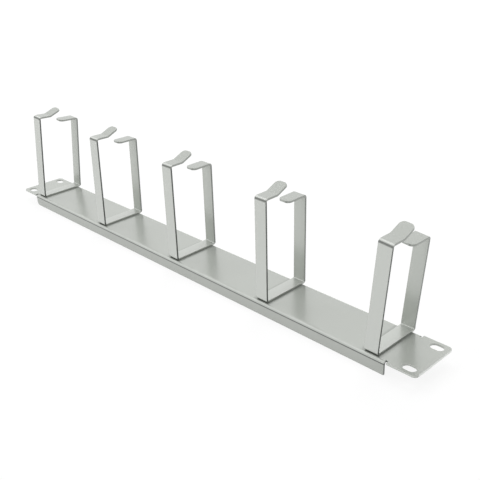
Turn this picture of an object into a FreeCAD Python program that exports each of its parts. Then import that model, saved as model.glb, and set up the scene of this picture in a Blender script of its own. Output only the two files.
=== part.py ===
import FreeCAD, Part
import math
import os

# Horizontal cable manager for a 19-inch rack, one rack unit high.
# One folded steel panel carries a row of open hoops, each bent from one steel strip.
# Frame: +X along the panel, +Y across its height, +Z out along the hoops.
# The origin is the centre of the four rack slots, on the face that meets the rack.
# All sizes are in millimetres and all angles in degrees.

# Rack interface: the unit's height, the gap to the next panel, and each slot's place from the ends
panel_length = 482.6
rack_unit_height = 44.45
unit_gap = 0.75
slot_end_inset = 8.75
slot_row_inset = 6.35
slot_length = 10.0
slot_width = 6.8

# Folded panel
panel_sheet = 1.5
panel_bend_radius = 1.0
ear_length = 24.3
flange_depth = 10.5
flange_corner_radius = 4.0
ear_corner_radius = 3.5
relief_width = 1.6
relief_margin = 0.2

# Hoop strip
strip_width = 10.9
strip_thickness = 1.6
strip_bend_radius = 0.8
strip_end_radius = 3.7

# Hoop form: the clear sizes are what the cables pass through
clear_width = 40.2
clear_height = 80.5
finger_drop = 9.25
arm_reach = 12.5
lip_length = 12.3
lip_angle = 24.2
finger_length = 19.7
square_stub = 1.5

# Row of hoops: evenly spaced between the flange ends, set back from the panel's near edge
hoop_end_margin = 10.2
hoop_setback = 2.1

# Each hoop as it was welded: offset along X from its pitch mark, lean along X, lean along Y
hoop_stances = [
    (-2.2, 2.75, 3.6),
    (0.4, 0.4, 1.1),
    (1.6, 0.1, 0.0),
    (1.4, 0.65, -0.2),
    (-1.8, 4.7, 0.0),
]

# How closely an edge's length must agree with the thickness it crosses
edge_tolerance = 0.001

# Worked out from the sizes above
panel_height = rack_unit_height - unit_gap
half_height = panel_height / 2
slot_spacing_x = panel_length - 2 * slot_end_inset
slot_spacing_y = rack_unit_height - 2 * slot_row_inset
flange_length = panel_length - 2 * ear_length
hoop_pitch = (flange_length - 2 * hoop_end_margin) / (len(hoop_stances) - 1)
panel_outer_bend = panel_bend_radius + panel_sheet
strip_outer_bend = strip_bend_radius + strip_thickness
near_face_y = hoop_setback - half_height
far_face_y = near_face_y + clear_width + 2 * strip_thickness
near_top = clear_height + 2 * strip_thickness
far_top = near_top - finger_drop
square_height = strip_outer_bend + square_stub


def vector(x, y, z):
    return FreeCAD.Vector(x, y, z)


def side_points(pairs):
    """Points in the YZ plane from (y, z) pairs."""
    return [vector(0, y, z) for y, z in pairs]


def bent_line(points, radius):
    """Open wire through the points, with an arc of the radius in place of each inner corner."""
    edges = []
    start = points[0]
    for before, corner, after in zip(points, points[1:], points[2:]):
        back = (before - corner).normalize()
        ahead = (after - corner).normalize()
        half_corner = back.getAngle(ahead) / 2
        inset = radius / math.tan(half_corner)
        depth = radius / math.sin(half_corner) - radius
        arc_start = corner + back * inset
        arc_middle = corner + (back + ahead).normalize() * depth
        arc_end = corner + ahead * inset
        edges.append(Part.makeLine(start, arc_start))
        edges.append(Part.Arc(arc_start, arc_middle, arc_end).toShape())
        start = arc_end
    edges.append(Part.makeLine(start, points[-1]))
    return Part.Wire(edges)


def folded_sheet(pairs, radius, thickness, length):
    """Folded sheet, centred along X, whose outer face follows the (y, z) pairs.

    The pairs run clockwise as seen from +X, and the thickness lies to the right of their path.
    """
    line = bent_line(side_points(pairs), radius)
    section = line.makeOffset2D(thickness, fill=True, openResult=True)
    section.translate(vector(-length / 2, 0, 0))
    return section.extrude(vector(length, 0, 0))


def edges_nearest(shape, point, length, count):
    """The edges of that length whose middles lie nearest the point."""
    fits = [edge for edge in shape.Edges if math.isclose(edge.Length, length, abs_tol=edge_tolerance)]
    fits.sort(key=lambda edge: edge.CenterOfMass.distanceToPoint(point))
    return fits[:count]


def rounded_plate(length, width, thickness, radius):
    """Flat plate centred on the origin, standing on z = 0, with round corners."""
    plate = Part.makeBox(length, width, thickness, vector(-length / 2, -width / 2, 0))
    corners = [edge for edge in plate.Edges if abs(edge.tangentAt(edge.FirstParameter).z) > 0.5]
    return plate.makeFillet(radius, corners)


def rack_slot(x, y):
    """Cutter for one slot: as long as the plate is deep, twice over, with half-round ends."""
    straight = slot_length - slot_width
    cutter = Part.makeBox(straight, slot_width, 2 * panel_sheet, vector(-straight / 2, -slot_width / 2, 0))
    for side in (-1, 1):
        end = Part.makeCylinder(slot_width / 2, 2 * panel_sheet, vector(side * straight / 2, 0, 0))
        cutter = cutter.fuse(end)
    cutter.translate(vector(x, y, -panel_sheet / 2))
    return cutter


def flanged_middle():
    """Shallow channel: the flat web, both bends and both flanges, over the flange length."""
    flange_edge = panel_sheet - flange_depth
    section = [
        (-half_height, flange_edge),
        (-half_height, panel_sheet),
        (half_height, panel_sheet),
        (half_height, flange_edge),
    ]
    channel = folded_sheet(section, panel_outer_bend, panel_sheet, flange_length)
    corner = vector(-flange_length / 2, -half_height, flange_edge)
    return channel.makeFillet(flange_corner_radius, edges_nearest(channel, corner, panel_sheet, 1))


def build_panel():
    """Ears and channel in one sheet: the plate gives up its edges where the bends run."""
    plate = rounded_plate(panel_length, panel_height, panel_sheet, ear_corner_radius)
    flat_width = panel_height - 2 * (panel_outer_bend + relief_margin)
    cut_length = flange_length + 2 * relief_width
    for side in (-1, 1):
        strip = Part.makeBox(cut_length, panel_height, 2 * panel_sheet)
        strip.translate(vector(-cut_length / 2, -panel_height / 2, -panel_sheet / 2))
        strip.translate(vector(0, side * (panel_height + flat_width) / 2, 0))
        plate = plate.cut(strip)
    panel = plate.fuse(flanged_middle()).removeSplitter()
    for side_x in (-1, 1):
        for side_y in (-1, 1):
            panel = panel.cut(rack_slot(side_x * slot_spacing_x / 2, side_y * slot_spacing_y / 2))
    return panel


def hoop_foot():
    """Base of the hoop with both lower bends, up to where the legs start to lean."""
    section = [
        (far_face_y, square_height),
        (far_face_y, 0),
        (near_face_y, 0),
        (near_face_y, square_height),
    ]
    return folded_sheet(section, strip_outer_bend, strip_thickness, strip_width)


def near_head():
    """Top of the tall leg: its bend, the level arm and the lip turned up at its end."""
    foot_y = near_face_y + arm_reach
    rise = lip_length * math.sin(math.radians(lip_angle))
    run = lip_length * math.cos(math.radians(lip_angle))
    section = [
        (near_face_y, near_top - square_height),
        (near_face_y, near_top),
        (foot_y, near_top),
        (foot_y + run, near_top + rise),
    ]
    head = folded_sheet(section, strip_outer_bend, strip_thickness, strip_width)
    tip = vector(0, foot_y + run, near_top + rise)
    return head.makeFillet(strip_end_radius, edges_nearest(head, tip, strip_thickness, 2))


def far_head():
    """Top of the short leg: its bend and the level finger with a rounded end."""
    tip_y = far_face_y - finger_length
    section = [
        (tip_y, far_top),
        (far_face_y, far_top),
        (far_face_y, far_top - square_height),
    ]
    head = folded_sheet(section, strip_outer_bend, strip_thickness, strip_width)
    tip = vector(0, tip_y, far_top)
    return head.makeFillet(strip_end_radius, edges_nearest(head, tip, strip_thickness, 2))


def leg_section(outer_face_y, inward, height):
    """The strip's own section, lying level at a height."""
    low_y = min(outer_face_y, outer_face_y + inward * strip_thickness)
    return Part.makePlane(strip_width, strip_thickness, vector(-strip_width / 2, low_y, height))


def turned(shape, pivot, lean_x, lean_y):
    """The shape leant about the pivot, towards +Y and then towards +X."""
    shape.rotate(pivot, vector(1, 0, 0), -lean_y)
    shape.rotate(pivot, vector(0, 1, 0), lean_x)
    return shape


def build_hoop(x, lean_x, lean_y):
    """One strip, bent five times: the foot is square to the panel, and each head square to its leg."""
    hoop = hoop_foot()
    for outer_face_y, inward, top, head in (
        (near_face_y, 1, near_top, near_head()),
        (far_face_y, -1, far_top, far_head()),
    ):
        pivot = vector(0, outer_face_y + inward * strip_thickness / 2, square_height)
        low_end = leg_section(outer_face_y, inward, square_height)
        high_end = turned(leg_section(outer_face_y, inward, top - square_height), pivot, lean_x, lean_y)
        leg = Part.makeLoft([low_end.OuterWire, high_end.OuterWire], True, True)
        hoop = hoop.fuse([leg, turned(head, pivot, lean_x, lean_y)])
    hoop = hoop.removeSplitter()
    hoop.translate(vector(x, 0, panel_sheet))
    return hoop


os.makedirs("parts", exist_ok=True)
build_panel().exportStep("parts/panel.step")
middle_hoop = (len(hoop_stances) - 1) / 2
for index, (offset, lean_x, lean_y) in enumerate(hoop_stances):
    x = (index - middle_hoop) * hoop_pitch + offset
    build_hoop(x, lean_x, lean_y).exportStep(f"parts/hoop_{index + 1}.step")
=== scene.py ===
# %% [markdown]
# # A horizontal cable manager for a 19-inch rack
#
# One folded steel panel, one rack unit high, carries a row of five open hoops bent from steel
# strip. Cables run lengthways through the hoops and are pushed in between each lip and finger.
# Everything is powder coated in one light grey. The construction model is loaded first as a
# fixed frame, and every piece below is made to its places and sizes.

# %% Load the frame
import math

import bmesh
import bpy
import numpy as np
from mathutils import Matrix, Vector


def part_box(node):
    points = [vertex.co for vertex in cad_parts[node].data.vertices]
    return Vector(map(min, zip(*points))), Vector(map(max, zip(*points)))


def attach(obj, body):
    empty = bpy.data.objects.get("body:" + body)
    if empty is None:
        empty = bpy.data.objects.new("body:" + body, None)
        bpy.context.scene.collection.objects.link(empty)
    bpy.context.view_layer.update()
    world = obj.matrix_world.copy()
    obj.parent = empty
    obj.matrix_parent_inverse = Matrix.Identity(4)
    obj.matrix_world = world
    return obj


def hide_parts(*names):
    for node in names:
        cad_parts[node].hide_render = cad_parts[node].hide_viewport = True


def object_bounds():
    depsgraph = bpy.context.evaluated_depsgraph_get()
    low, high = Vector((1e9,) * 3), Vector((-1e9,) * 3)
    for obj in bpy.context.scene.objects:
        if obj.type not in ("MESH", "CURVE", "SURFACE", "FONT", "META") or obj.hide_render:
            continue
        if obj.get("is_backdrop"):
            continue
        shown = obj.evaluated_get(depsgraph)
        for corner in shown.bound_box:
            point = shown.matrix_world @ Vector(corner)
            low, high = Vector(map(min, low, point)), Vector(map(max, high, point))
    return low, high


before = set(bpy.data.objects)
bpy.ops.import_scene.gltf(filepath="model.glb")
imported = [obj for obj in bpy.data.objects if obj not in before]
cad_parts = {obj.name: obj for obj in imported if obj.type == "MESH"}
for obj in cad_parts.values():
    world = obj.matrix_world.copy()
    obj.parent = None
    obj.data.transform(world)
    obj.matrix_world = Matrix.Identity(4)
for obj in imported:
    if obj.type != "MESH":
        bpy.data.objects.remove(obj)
cad_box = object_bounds()
mm = 0.001
print("nodes:", sorted(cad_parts))

# %% [markdown]
# ## Camera
#
# A camera is described here the way a photographer would: where it stands, which way it looks,
# how far it is rolled, and its focal length. These come from the panel's four slots and straight
# edges, whose real sizes are known: only one camera puts all of them where the photograph does.
# Writing the three axes as a matrix is more exact than aiming the camera at a target. Lengths in
# this script are in metres, but Blender keeps a camera's lens and sensor in millimetres.

# %% Camera
camera_place = (441.26 * mm, -356.86 * mm, 280.01 * mm)
camera_azimuth = math.radians(-46.674)
camera_descent = math.radians(25.532)
camera_roll = math.radians(-2.073)
focal_pixels = 736.64
picture_pixels = 480
sensor_width = 36.0
nearest_seen = 10 * mm


def camera_axes(azimuth, descent, roll):
    """Right, up and backward: a compass bearing, a tilt down, then a turn about the line of sight."""
    level = math.cos(descent)
    forward = np.array([math.sin(azimuth) * level, math.cos(azimuth) * level, -math.sin(descent)])
    right = np.array([math.cos(azimuth), -math.sin(azimuth), 0.0])
    up = np.cross(right, forward)
    turned_right = math.cos(roll) * right + math.sin(roll) * up
    turned_up = math.cos(roll) * up - math.sin(roll) * right
    return turned_right, turned_up, -forward


camera_data = bpy.data.cameras.new("camera")
camera_data.sensor_width = sensor_width
camera_data.lens = focal_pixels / picture_pixels * sensor_width
camera_data.clip_start = nearest_seen
camera_turn = Matrix(camera_axes(camera_azimuth, camera_descent, camera_roll)).transposed().to_4x4()
camera = bpy.data.objects.new("camera", camera_data)
camera.matrix_world = Matrix.Translation(Vector(camera_place)) @ camera_turn
bpy.context.scene.collection.objects.link(camera)
bpy.context.scene.camera = camera
print("lens", round(camera_data.lens, 1), "mm")

# %% [markdown]
# ## Powder coat
#
# Powder coat is sprayed on dry and melted in an oven. It comes out as one even grey with a very
# fine ripple that coaters call orange peel. This one holds fine metal flake and mirrors softly, so
# each far leg shows as a dim patch in the sheet beside its foot. Two noise patterns give the film
# its grain: a broad one lets the grey drift a little, as the film's thickness does, and a fine
# one moves the gloss and the bump. Object coordinates keep the same grain on every piece.
#
# Where the steel is folded, the coat's colour also holds painted light: a painted highlight along
# the crest of the bend and a fine painted line of shade beside it, with more painted shade and
# painted light elsewhere on edges and faces. Each piece says where its painted light falls, as
# one value from -1, fully paled as painted highlight, to 1, fully darkened as painted shade. So the
# coat takes that value as a recipe of its own.

# %% Small helpers for node materials


def empty_material(name):
    """A node material with nothing in it yet."""
    material = bpy.data.materials.new(name)
    material.use_nodes = True
    material.node_tree.nodes.clear()
    return material, material.node_tree


def feed(tree, socket, value):
    """Link the socket where the value is another socket, and otherwise set the value on it."""
    if isinstance(value, bpy.types.NodeSocket):
        tree.links.new(value, socket)
    else:
        socket.default_value = value


def placed(tree, kind, **inputs):
    """A new node, with its input sockets fed by name."""
    node = tree.nodes.new(kind)
    for name, value in inputs.items():
        feed(tree, node.inputs[name.replace("_", " ")], value)
    return node


def calculated(tree, operation, *values):
    """A math node's result, from numbers or sockets in the node's own order."""
    node = tree.nodes.new("ShaderNodeMath")
    node.operation = operation
    for socket, value in zip(node.inputs, values):
        feed(tree, socket, value)
    return node.outputs[0]


def mixed(tree, share, under, over):
    """(1 - share) of the colour under and share of the colour over, the share held within 0 and 1."""
    node = tree.nodes.new("ShaderNodeMix")
    node.data_type = "RGBA"
    feed(tree, node.inputs["Factor"], share)
    feed(tree, node.inputs["A"], under)
    feed(tree, node.inputs["B"], over)
    return node.outputs["Result"]


def object_place(tree):
    """The place on the piece, in object coordinates."""
    return tree.nodes.new("ShaderNodeTexCoord").outputs["Object"]


# %% Powder coat
coat_pale = (0.532, 0.553, 0.520, 1.0)
coat_deep = (0.508, 0.528, 0.496, 1.0)
# The dark grey below is what painted shade mixes towards; the pale grey after it is what painted
# highlights mix towards.
painted_shade_grey = (0.10, 0.105, 0.10, 1.0)
painted_highlight_grey = (0.92, 0.94, 0.91, 1.0)
drift_noise = {"Scale": 22.0, "Detail": 3.0, "Roughness": 0.55}
peel_noise = {"Scale": 1100.0, "Detail": 2.0, "Roughness": 0.5}
peel_bump = {"Strength": 0.25, "Distance": 0.04 * mm}
gloss_range = {"To_Min": 0.21, "To_Max": 0.29}
metal_flake = 0.55


def powder_coat(name, painted_light_recipe):
    """Two greys mixed by broad noise, then painted highlight below a value of 0 and painted shade above.

    Fine noise gives the bump its height and moves the roughness from one end of its range to the
    other. A mix holds its share within 0 and 1, so one signed value can drive both mixes.
    """
    material, tree = empty_material(name)
    place = object_place(tree)
    drift = placed(tree, "ShaderNodeTexNoise", Vector=place, **drift_noise).outputs["Fac"]
    peel = placed(tree, "ShaderNodeTexNoise", Vector=place, **peel_noise).outputs["Fac"]
    painted_light = painted_light_recipe(tree)
    plain = mixed(tree, drift, coat_deep, coat_pale)
    # Painted light: paled as a painted highlight below 0, darkened as painted shade above 0.
    paled = mixed(tree, calculated(tree, "MULTIPLY", painted_light, -1.0), plain, painted_highlight_grey)
    painted_light_colour = mixed(tree, painted_light, paled, painted_shade_grey)

    gloss = placed(tree, "ShaderNodeMapRange", Value=peel, **gloss_range)
    bump = placed(tree, "ShaderNodeBump", Height=peel, **peel_bump)
    shader = placed(tree, "ShaderNodeBsdfPrincipled", Base_Color=painted_light_colour, Metallic=metal_flake)
    feed(tree, shader.inputs["Roughness"], gloss.outputs["Result"])
    feed(tree, shader.inputs["Normal"], bump.outputs["Normal"])
    placed(tree, "ShaderNodeOutputMaterial", Surface=shader.outputs["BSDF"])
    print(name, "with", len(tree.nodes), "nodes")
    return material


# %% [markdown]
# ## Hoop sizes
#
# A hoop starts as a flat strip with rounded ends. A press brake then bends it five times. The
# sizes below are the strip's own, in the order that a fabricator would ask for them. The five
# hoops share them, because all came off the same press.

# %% Hoop sizes
strip_width = 10.9 * mm
strip_thickness = 1.6 * mm
inner_bend = 0.8 * mm
end_radius = 3.7 * mm
clear_height = 80.5 * mm
finger_drop = 9.25 * mm
arm_reach = 12.5 * mm
lip_length = 12.3 * mm
lip_angle = math.radians(24.2)
finger_length = 19.7 * mm
square_stub = 1.5 * mm
cut_edge_radius = 0.2 * mm

outer_bend = inner_bend + strip_thickness
near_top = clear_height + 2 * strip_thickness
far_top = near_top - finger_drop
square_height = outer_bend + square_stub
panel_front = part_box("panel")[1].z
near_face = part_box("hoop_5")[0].y
far_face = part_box("hoop_5")[1].y
print("hoop outside", round((far_face - near_face) / mm, 1), "x", round(near_top / mm, 1), "mm")

# %% [markdown]
# ## The bent strip's middle line
#
# A press-brake operator thinks in steps: go straight this far, bend this much. The line down the
# middle of the strip can be worked out the same way. Each step has a length and a turn, and the
# running total of the turns is the heading. Adding up the steps along their headings gives every
# point at once, with no loop over points. A drawn curve would do too, but then each bend's radius
# would have to be checked by hand. The stations on the straight parts crowd towards the bends, so
# that a fine line in the coat there isn't smeared along the leg.

# %% Straights and bends
bend_steps = 12
leg_steps = 28
tip_steps = 10

even_bend = np.linspace(0, 1, bend_steps + 1)
close_at_ends = (1 - np.cos(np.linspace(0, np.pi, leg_steps + 1))) / 2
eased_tip = 1 - np.cos(np.linspace(0, np.pi / 2, tip_steps + 1))


def straight(outer_length, *turns):
    """What is left of an outside length once each bend has taken radius times tan(turn / 2) of it."""
    return outer_length - sum(outer_bend * math.tan(turn / 2) for turn in turns)


def bend(turn, side=1):
    """An arc on the middle line: inner radius plus half the strip, or outer radius on a backward bend."""
    radius = (inner_bend if side > 0 else outer_bend) + strip_thickness / 2
    return radius * turn, side * turn, even_bend


quarter = math.pi / 2
lip_rest = straight(lip_length, lip_angle) - end_radius
finger_rest = straight(finger_length, quarter) - end_radius
strip_route = [
    (end_radius, 0.0, eased_tip),
    (lip_rest, 0.0, close_at_ends),
    bend(lip_angle, side=-1),
    (straight(arm_reach, lip_angle, quarter), 0.0, close_at_ends),
    bend(quarter),
    (straight(near_top, quarter, quarter), 0.0, close_at_ends),
    bend(quarter),
    (straight(far_face - near_face, quarter, quarter), 0.0, close_at_ends),
    bend(quarter),
    (straight(far_top, quarter, quarter), 0.0, close_at_ends),
    bend(quarter),
    (finger_rest, 0.0, close_at_ends),
    (end_radius, 0.0, 1 - eased_tip[::-1]),
]
print("route of", len(strip_route), "steps")

# %% Walk the middle line


def walk(route, heading):
    """Stations along a route of (length, turn, shares) pieces.

    Each step moves by its chord, length * sin(turn / 2) / (turn / 2), along the heading at its
    middle. Gives the points, the headings and the distances walked.
    """
    lengths = np.concatenate([length * np.diff(shares) for length, turn, shares in route])
    turns = np.concatenate([turn * np.diff(shares) for length, turn, shares in route])
    headings = heading + np.concatenate([[0.0], np.cumsum(turns)])
    middles = headings[:-1] + turns / 2
    chords = lengths * np.sinc(turns / (2 * np.pi))
    moves = chords[:, None] * np.stack([np.cos(middles), np.sin(middles)], axis=1)
    points = np.concatenate([np.zeros((1, 2)), np.cumsum(moves, axis=0)])
    distances = np.concatenate([[0.0], np.cumsum(lengths)])
    return points, headings, distances


line, headings, distances = walk(strip_route, math.pi + lip_angle)
line = line - line.min(axis=0) + [near_face + strip_thickness / 2, strip_thickness / 2]
print("stations", len(line), "strip length", round(distances[-1] / mm, 1), "mm")

# %% [markdown]
# ## The strip's skin
#
# The cross-section is a rectangle with slightly rounded corners, as cut and coated steel has. It
# is carried along the middle line as one ring per station. Near each end the ring narrows along
# a circle, which rounds the strip's end, and in the last fifth of a millimetre it also shrinks
# by the edge radius, so that the end has the same soft edge as the sides.

# %% Skin of the strip
corner_steps = 3


def circle_inset(distance, radius):
    """How far a quarter circle stands in from its tangent, at a distance before the tangent's end.

    That is the radius less the square root of radius squared minus shortfall squared.
    """
    short = np.clip(radius - distance, 0, radius)
    return radius - np.sqrt(radius ** 2 - short ** 2)


corner_arc = np.linspace(0, quarter, corner_steps + 1)
ring_angle = np.concatenate([corner_arc + quarter * corner for corner in range(4)])
ring_side = np.repeat([1, -1, -1, 1], corner_steps + 1)
ring_face = np.repeat([1, 1, -1, -1], corner_steps + 1)


def strip_rings(distances):
    """Offsets (across, outward) of every ring point: a corner's centre plus the edge radius around it."""
    to_end = np.minimum(distances, distances[-1] - distances)
    edge = circle_inset(to_end, cut_edge_radius)
    half_width = strip_width / 2 - circle_inset(to_end, end_radius) - edge - cut_edge_radius
    half_depth = strip_thickness / 2 - edge - cut_edge_radius
    across = ring_side * half_width[:, None] + cut_edge_radius * np.cos(ring_angle)
    outward = ring_face * half_depth[:, None] + cut_edge_radius * np.sin(ring_angle)
    return across, outward


def tube_faces(stations, around):
    """Four-sided faces between neighbouring rings, closed round each ring, and one face on each end."""
    ring = np.arange(stations - 1)[:, None] * around
    here = ring + np.arange(around)
    beside = ring + (np.arange(around) + 1) % around
    sides = np.stack([here, here + around, beside + around, beside], axis=-1).reshape(-1, 4)
    first = list(range(around))
    last = [(stations - 1) * around + index for index in reversed(first)]
    return sides.tolist() + [first, last]


across, outward = strip_rings(distances)
outside = np.stack([np.sin(headings), -np.cos(headings)], axis=1)
side_view = line[:, None, :] + outward[..., None] * outside[:, None, :]
strip_faces = tube_faces(*across.shape)
print("ring of", across.shape[1], "points,", len(strip_faces), "faces")

# %% [markdown]
# ## Painted light and shade on the strip
#
# On the outside of the near top bend, a painted highlight runs along the crest above a painted
# dark line of shade, and a softer painted line of shade runs round the foot of the near leg, where
# the bend curls under. The strip's sheared side edges are darkened with painted shade, most on the
# near leg, less on the far leg and a little on the heads; the base's edges keep the plain grey.
# The near leg and the base are paled with painted light, and the heads' faces get a touch of
# painted shade. All of this is one value at each point of the skin, kept in the mesh as an
# attribute. An attribute follows the bent surface wherever it goes, which a pattern in space
# would not.

# %% Fold lines
crease_width = 0.65 * mm
crest_width = 0.5 * mm
foot_line_width = 1.0 * mm
crease_share = 0.76
crest_share = 0.36
foot_line_share = 0.65
crease_dark = 0.85
crest_strength = 0.7
foot_line_dark = 0.38
bend_order = ["lip", "near top", "near foot", "far foot", "far top"]


def along_bend(name, share):
    """Distance along the strip to a share of the way round the named bend."""
    bent = [index for index, (length, turn, shares) in enumerate(strip_route) if turn]
    first = bent[bend_order.index(name)]
    before = sum(length for length, turn, shares in strip_route[:first])
    return before + share * strip_route[first][0]


def outer_line(name, share, width):
    """A line across the strip's outer side: exp(-(distance / width) squared) from its middle."""
    off_line = distances - along_bend(name, share)
    return np.exp(-(off_line / width) ** 2)[:, None] * (outward > 0)


# Painted shade: a dark line just below the near top bend.
painted_crease_shade = crease_dark * outer_line("near top", crease_share, crease_width)
# Painted shade where the near leg's foot bend curls under towards the panel.
painted_foot_shade = foot_line_dark * outer_line("near foot", foot_line_share, foot_line_width)
# Painted highlight: a pale band along the crest of the near top bend.
painted_highlight_line = crest_strength * outer_line("near top", crest_share, crest_width)
line_values = np.maximum(painted_crease_shade, painted_foot_shade) - painted_highlight_line
print("fold lines from", round(line_values.min(), 2), "to", round(line_values.max(), 2))

# %% Painted light and shade on faces and edges
# Painted shade on the side edges: strongest on the near leg, less on the far leg, slight on the heads.
head_edge_dark = 0.25
near_edge_dark = 0.92
far_edge_dark = 0.62
# Painted shade on the heads' faces, and painted light that pales the near leg and the base.
head_painted_shade = 0.04
painted_light_paling = -0.22
edge_sharpness = 4

region_ends = [
    along_bend("near top", 1.0),
    along_bend("near foot", 0.5),
    along_bend("far foot", 0.5),
    along_bend("far top", 0.0),
]
region = np.digitize(distances, region_ends)
edge_tone = np.array([head_edge_dark, near_edge_dark, 0.0, far_edge_dark, head_edge_dark])[region]
face_tone = np.array([head_painted_shade, painted_light_paling, painted_light_paling, 0.0, head_painted_shade])[region]
edge_share = np.cos(ring_angle) ** edge_sharpness
painted_tones = edge_share * edge_tone[:, None] + (1 - edge_share) * face_tone[:, None]
# One painted light value per point: the fold lines where they are stronger, else the edges and faces.
painted_light_values = np.where(np.abs(line_values) > np.abs(painted_tones), line_values, painted_tones)
# The printed range is that of the painted light and shade on faces and edges.
print("film from", round(painted_tones.min(), 2), "to", round(painted_tones.max(), 2))

# %% [markdown]
# ## Five hoops, each with its own stance
#
# The hoops were welded by hand, and each stands a degree or two off square. The foot is square to
# the panel, because it was pressed flat for the weld. Each leg then leans, and carries its head
# with it, because the top bend was made square to the leg. So the foot's points stay, the head's
# points are turned about the leg's foot, and the leg's points lie on straight lines between the
# two. The stances were measured in the photograph, hoop by hoop: where the hoop stands along the
# panel, and its leans towards +X and towards +Y in degrees.

# %% Stances
hoop_stances = {
    "hoop_1": (-209.0 * mm, 2.75, 3.6),
    "hoop_2": (-103.0 * mm, 0.4, 1.1),
    "hoop_3": (1.6 * mm, 0.1, 0.0),
    "hoop_4": (104.8 * mm, 0.65, -0.2),
    "hoop_5": (205.0 * mm, 4.7, 0.0),
}
last_of_base = np.flatnonzero(line[:, 1] < strip_thickness)[-1]
near_side = np.arange(len(line)) < last_of_base
leg_top = np.where(near_side, near_top, far_top)[:, None]
leg_middle = np.where(near_side, near_face + strip_thickness / 2, far_face - strip_thickness / 2)[:, None]
print("stations on the near side", near_side.sum(), "and on the far side", (~near_side).sum())


def lean_matrix(lean_x, lean_y):
    """A turn towards +Y, then one towards +X, in degrees."""
    towards_y = Matrix.Rotation(-math.radians(lean_y), 3, "X")
    towards_x = Matrix.Rotation(math.radians(lean_x), 3, "Y")
    return np.array(towards_x @ towards_y)


def leaning(across, y, z, lean_x, lean_y):
    """Points of an upright hoop, leant: foot as it is, head turned about the pivot, leg between them."""
    head_start = leg_top - square_height
    share = np.clip((z - square_height) / (head_start - square_height), 0, 1)[..., None]
    foot_points = np.stack([across, y, np.minimum(z, square_height)], axis=-1)
    from_pivot = np.stack([across, y - leg_middle, np.maximum(z, head_start) - square_height], axis=-1)
    head_points = from_pivot @ lean_matrix(lean_x, lean_y).T
    head_points[..., 1] += leg_middle
    head_points[..., 2] += square_height
    return (1 - share) * foot_points + share * head_points


# %% [markdown]
# ## Building the hoops
#
# Each hoop is one mesh: the same skin and the same faces, leant its own way and set down on the
# panel's front face. It stands in for the frame's own hoop, so the two boxes are compared. The
# weighted normals let the wide faces decide how light falls near an edge. So the faces look flat
# and only the narrow edge rounding catches light.

# %% Build the hoops


def stored_painted_light(tree):
    """The painted light value stored in the mesh."""
    node = tree.nodes.new("ShaderNodeAttribute")
    node.attribute_name = "painted_light"
    return node.outputs["Fac"]


def new_piece(name, mesh, material):
    """An object at the origin for the mesh, coated and shaded smooth."""
    mesh.name = name
    mesh.materials.clear()
    mesh.materials.append(material)
    mesh.polygons.foreach_set("use_smooth", np.ones(len(mesh.polygons), bool))
    piece = bpy.data.objects.new(name, mesh)
    bpy.context.scene.collection.objects.link(piece)
    return piece


def let_flat_faces_lead(piece):
    """Corner normals weighted by the size of the faces around them."""
    weighted = piece.modifiers.new("flat faces lead", "WEIGHTED_NORMAL")
    weighted.keep_sharp = True


def make_hoop(name, material):
    """The bent skin, leant and set down on the panel's front face."""
    x, lean_x, lean_y = hoop_stances[name]
    points = leaning(across, side_view[..., 0], side_view[..., 1], lean_x, lean_y)
    points = points.reshape(-1, 3) + [x, 0, panel_front]
    mesh = bpy.data.meshes.new(name)
    mesh.from_pydata(points.tolist(), [], strip_faces)
    painted_light = mesh.attributes.new("painted_light", "FLOAT", "POINT")
    painted_light.data.foreach_set("value", painted_light_values.astype(np.float32).ravel())
    piece = new_piece(name + "_strip", mesh, material)
    let_flat_faces_lead(piece)
    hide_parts(name)
    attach(piece, "root")
    low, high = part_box(name)
    drift = max(np.abs(points.min(axis=0) - low).max(), np.abs(points.max(axis=0) - high).max())
    print(name, "at", round(x / mm, 1), "mm, off the frame's box by", round(drift / mm, 3), "mm")


strip_coat = powder_coat("strip_powder_coat", stored_painted_light)
for name in hoop_stances:
    make_hoop(name, strip_coat)

# %% [markdown]
# ## Painted light and shade on the sheet
#
# The panel's near fold carries the same painted highlight along its crest and painted dark line
# of shade as the strip's. The flanges are darkened with painted shade, and their cut ends more so.
# The ends of the ears are paled with painted highlight. Beside each hoop's base, a soft painted
# contact shadow fades out across the sheet. All of these run square to the sheet, so each is worked
# out from object coordinates. An attribute wouldn't do here, because the sheet's faces are too
# large to hold a fine line.

# %% Painted fold light and contact shade
panel_bend = 2.5 * mm
# Painted shade line and painted highlight along the panel's near fold.
panel_crease_share = 0.85
panel_crest_share = 0.25
panel_crease_width = 0.65 * mm
panel_crest_strength = 0.26
# Painted contact shadow beside each hoop's base, reaching this far across the sheet.
contact_shade_reach = 4.4 * mm
contact_shade_strength = 0.42
front_tolerance = 0.1 * mm
far_off = 1.0
base_middle = (near_face + far_face) / 2
base_half = (far_face - near_face) / 2
print("each base covers", round(strip_width / mm, 1), "x", round(2 * base_half / mm, 1), "mm")


def fading(tree, distance, reach):
    """1 at no distance, easing to 0 at the reach."""
    strength = placed(tree, "ShaderNodeMapRange", Value=distance, From_Max=reach, To_Min=1.0, To_Max=0.0)
    strength.interpolation_type = "SMOOTHSTEP"
    return strength.outputs["Result"]


def line_along_fold(tree, z, share):
    """A line at the height where the bend has gone that share of its drop."""
    off_line = calculated(tree, "SUBTRACT", z, panel_front - panel_bend * share)
    return fading(tree, calculated(tree, "ABSOLUTE", off_line), panel_crease_width)


def near_fold(tree, y, z):
    """Painted shade line less painted highlight at the crest, on the near side only."""
    dark = line_along_fold(tree, z, panel_crease_share)
    crest = line_along_fold(tree, z, panel_crest_share)
    pale = calculated(tree, "MULTIPLY", crest, panel_crest_strength)
    on_near_side = calculated(tree, "LESS_THAN", y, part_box("panel")[0].y + panel_bend)
    return calculated(tree, "MULTIPLY", calculated(tree, "SUBTRACT", dark, pale), on_near_side)


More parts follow.
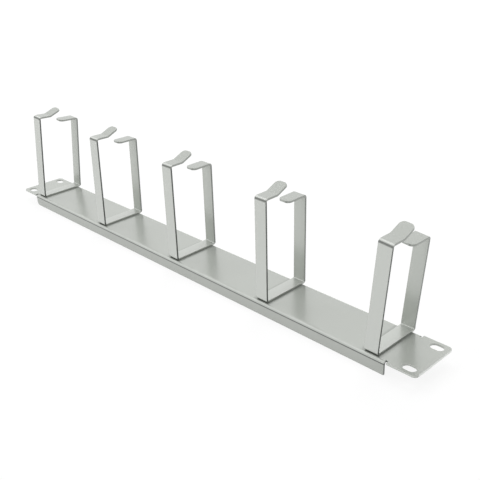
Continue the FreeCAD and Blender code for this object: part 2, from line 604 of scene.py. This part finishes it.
def painted_contact_shade(tree, x, y, z):
    """Painted contact shadow on the front face, fading with distance outside the nearest base's
    rectangle.
    """
    off_middle = calculated(tree, "ABSOLUTE", calculated(tree, "SUBTRACT", y, base_middle))
    past_end = calculated(tree, "SUBTRACT", off_middle, base_half)
    nearest = far_off
    for stance in hoop_stances.values():
        off_hoop = calculated(tree, "ABSOLUTE", calculated(tree, "SUBTRACT", x, stance[0]))
        past_side = calculated(tree, "SUBTRACT", off_hoop, strip_width / 2)
        past_base = calculated(tree, "MAXIMUM", past_side, past_end)
        nearest = calculated(tree, "MINIMUM", past_base, nearest)
    contact_shade = calculated(tree, "MULTIPLY", fading(tree, nearest, contact_shade_reach), contact_shade_strength)
    in_front = calculated(tree, "GREATER_THAN", z, panel_front - front_tolerance)
    return calculated(tree, "MULTIPLY", contact_shade, in_front)


# %% Flanges and ends
# Painted shade on the flanges, and darker painted shade on their cut ends.
flange_shade = 0.12
flange_end_dark = 0.5
flange_end_reach = 0.3 * mm
ear_length = 24.3 * mm
sheet_edge_radius = 0.15 * mm
shade_from = -0.5 * mm
fold_clearance = 0.3 * mm
panel_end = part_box("panel")[1].x
flange_half = panel_end - ear_length
web_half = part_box("panel")[1].y - panel_bend - fold_clearance
print("flanges", round(2 * flange_half / mm, 1), "mm long")


def flange_painted_shade(tree, from_middle, y, z):
    """Painted shade on the flanges, and darker painted shade on their ends, told by distance from the
    middle.
    """
    below_web = calculated(tree, "LESS_THAN", z, shade_from)
    shade = calculated(tree, "MULTIPLY", below_web, flange_shade)
    at_end = calculated(tree, "COMPARE", from_middle, flange_half, flange_end_reach)
    off_web = calculated(tree, "GREATER_THAN", calculated(tree, "ABSOLUTE", y), web_half)
    end = calculated(tree, "MULTIPLY", calculated(tree, "MULTIPLY", at_end, flange_end_dark), off_web)
    return calculated(tree, "ADD", shade, end)


def sheet_painted_light(tree):
    """The sheet's painted shade added up, less 1 for a painted highlight on the ends of the ears."""
    x, y, z = placed(tree, "ShaderNodeSeparateXYZ", Vector=object_place(tree)).outputs
    from_middle = calculated(tree, "ABSOLUTE", x)
    marks = near_fold(tree, y, z)
    for more in (flange_painted_shade(tree, from_middle, y, z), painted_contact_shade(tree, x, y, z)):
        marks = calculated(tree, "ADD", marks, more)
    # Painted highlight on the ends of the ears.
    at_ear_end = calculated(tree, "GREATER_THAN", from_middle, panel_end - sheet_edge_radius / 2)
    return calculated(tree, "SUBTRACT", marks, at_ear_end)


# %% [markdown]
# ## Panel
#
# The panel's shape is right in the frame already: sheet, flanges, slots and reliefs. What it
# lacks is the slightly soft edge that punched and coated sheet has, which catches light as a
# hairline. A copy of its mesh is merged into one clean surface and given a narrow bevel. Only
# edges sharper than the limit are bevelled, so the folds stay smooth.

# %% Panel
merge_reach = 0.001 * mm
level_limit = math.radians(0.5)
sharp_limit = math.radians(40)
sheet_edge_steps = 2


def clean_copy(name):
    """The node's mesh with doubled corners merged and level triangles joined into whole faces."""
    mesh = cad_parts[name].data.copy()
    work = bmesh.new()
    work.from_mesh(mesh)
    bmesh.ops.remove_doubles(work, verts=work.verts, dist=merge_reach)
    bmesh.ops.dissolve_limit(work, angle_limit=level_limit, verts=work.verts, edges=work.edges)
    work.to_mesh(mesh)
    work.free()
    return mesh


sheet_coat = powder_coat("sheet_powder_coat", sheet_painted_light)
panel = new_piece("panel_sheet", clean_copy("panel"), sheet_coat)
soft_edge = panel.modifiers.new("soft edge", "BEVEL")
soft_edge.width = sheet_edge_radius
soft_edge.segments = sheet_edge_steps
soft_edge.limit_method = "ANGLE"
soft_edge.angle_limit = sharp_limit
soft_edge.harden_normals = True
let_flat_faces_lead(panel)
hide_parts("panel")
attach(panel, "root")
print("panel faces", len(panel.data.polygons))

# %% [markdown]
# ## Floor
#
# The photograph's ground is white with only a breath of shadow. A floor lit up to white would
# throw far too much light back on the object. So the floor answers two kinds of question. What
# the camera and reflections see is mostly its own white, with a small share that still takes
# shadow. What the object's surfaces receive from it is a plain pale bounce. Away from the object
# the lamps reach the floor less, so its own white rises there and no horizon shows.

# %% Finish of the floor
floor_glow = 0.88
floor_share = 0.14
floor_bounce = 0.45
white = 1.0
shadow_reach = 0.4
all_white_from = 2.0
print("the floor's own white rises from", floor_glow, "to", white)


def plain_grey(level):
    """The same level of red, green and blue."""
    return level, level, level, 1.0


def white_to_the_eye(tree):
    """1 where the ray comes from the camera, a reflection or something clear, else 0."""
    path = tree.nodes.new("ShaderNodeLightPath")
    seen = calculated(tree, "MAXIMUM", path.outputs["Is Camera Ray"], path.outputs["Is Glossy Ray"])
    return calculated(tree, "MAXIMUM", seen, path.outputs["Is Transmission Ray"])


def shown_or_given(tree, shown, given):
    """One shader for rays that the eye sees by, and another for the light that the object gets."""
    choice = placed(tree, "ShaderNodeMixShader", Fac=white_to_the_eye(tree))
    tree.links.new(given.outputs[0], choice.inputs[1])
    tree.links.new(shown.outputs[0], choice.inputs[2])
    return choice.outputs[0]


def floor_finish():
    """Own white plus a little shadowed white for the eye, and a pale bounce for the object."""
    material, tree = empty_material("studio_floor")
    bounce = placed(tree, "ShaderNodeBsdfDiffuse", Color=plain_grey(floor_bounce))
    shaded = placed(tree, "ShaderNodeBsdfDiffuse", Color=plain_grey(floor_share))
    distance = tree.nodes.new("ShaderNodeVectorMath")
    distance.operation = "LENGTH"
    tree.links.new(object_place(tree), distance.inputs[0])
    rise = placed(tree, "ShaderNodeMapRange", From_Min=shadow_reach, From_Max=all_white_from)
    feed(tree, rise.inputs["To Min"], floor_glow)
    feed(tree, rise.inputs["To Max"], white)
    feed(tree, rise.inputs["Value"], distance.outputs["Value"])
    rise.interpolation_type = "SMOOTHSTEP"
    glow = placed(tree, "ShaderNodeEmission", Strength=rise.outputs["Result"])
    shown = tree.nodes.new("ShaderNodeAddShader")
    tree.links.new(shaded.outputs[0], shown.inputs[0])
    tree.links.new(glow.outputs[0], shown.inputs[1])
    placed(tree, "ShaderNodeOutputMaterial", Surface=shown_or_given(tree, shown, bounce))
    return material


# %% Floor
floor_reach = 6.0
floor_height = cad_box[0][2]
corner_signs = [(-1, -1), (1, -1), (1, 1), (-1, 1)]
floor_corners = [(x * floor_reach, y * floor_reach, floor_height) for x, y in corner_signs]
floor_mesh = bpy.data.meshes.new("floor")
floor_mesh.from_pydata(floor_corners, [], [(0, 1, 2, 3)])
floor_mesh.materials.append(floor_finish())
floor = bpy.data.objects.new("floor", floor_mesh)
bpy.context.scene.collection.objects.link(floor)
floor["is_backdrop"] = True
print("floor at", round(floor_height / mm, 1), "mm")

# %% [markdown]
# ## Light
#
# Three soft lamps light the object. The key lamp is wider than it is far away and stands high on
# the left, a little behind, so that it lights the tops and leaves hardly any shadow. A smaller one
# on the left picks out the crests of the bends. A low one in front fills the faces towards the
# camera. The lamps are kept out of reflections: in a coat this smooth each would show as a hard
# white patch, where the real one shows only the even white of a studio.
#
# A colour renders about as it is written where the lamps and the world together reach 1. So each
# lamp is set by its share of that, and its power follows from its distance: power = share * (pi *
# distance) squared.

# %% Light
lamp_distance = 3.0


def soft_lamp(name, direction, size, share):
    """A round area lamp on a bearing from the origin, facing it."""
    data = bpy.data.lights.new(name, "AREA")
    data.shape = "DISK"
    data.size = size
    data.energy = share * (math.pi * lamp_distance) ** 2
    lamp = bpy.data.objects.new(name, data)
    bearing = Vector(direction).normalized()
    lamp.location = bearing * lamp_distance
    lamp.rotation_euler = bearing.to_track_quat("Z", "Y").to_euler()
    lamp.visible_glossy = False
    bpy.context.scene.collection.objects.link(lamp)
    print(name, "lamp", round(data.energy, 1), "W")


soft_lamp("key", direction=(-0.32, 0.42, 0.85), size=3.2, share=0.84)
soft_lamp("crest", direction=(-0.60, -0.25, 0.75), size=1.2, share=0.18)
soft_lamp("front", direction=(-0.30, -0.95, 0.10), size=1.2, share=0.54)

# %% [markdown]
# ## World
#
# The world gives an even glow from all round, as a studio's walls do. The camera and reflections
# see it plain white instead, which is the photograph's background. The Standard view keeps every
# colour as it is written.

# %% World
world_glow = 0.26


def studio_world():
    """White to the eye, and a weak even glow for the object."""
    world = bpy.data.worlds.new("studio")
    world.use_nodes = True
    tree = world.node_tree
    tree.nodes.clear()
    glow = placed(tree, "ShaderNodeBackground", Color=plain_grey(white), Strength=world_glow)
    shown = placed(tree, "ShaderNodeBackground", Color=plain_grey(white), Strength=white)
    placed(tree, "ShaderNodeOutputWorld", Surface=shown_or_given(tree, shown, glow))
    return world


bpy.context.scene.world = studio_world()
bpy.context.scene.view_settings.view_transform = "Standard"
print("world glow", world_glow)

# %% [markdown]
# ## Finish
#
# The object's box before and after dressing is written down, so that the two can be compared.

# %% Sizes and finish
model_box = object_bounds()
growth = [b - a for low, high in zip(cad_box, model_box) for a, b in zip(low, high)]
print("box moved by", [round(step / mm, 3) for step in growth], "mm")
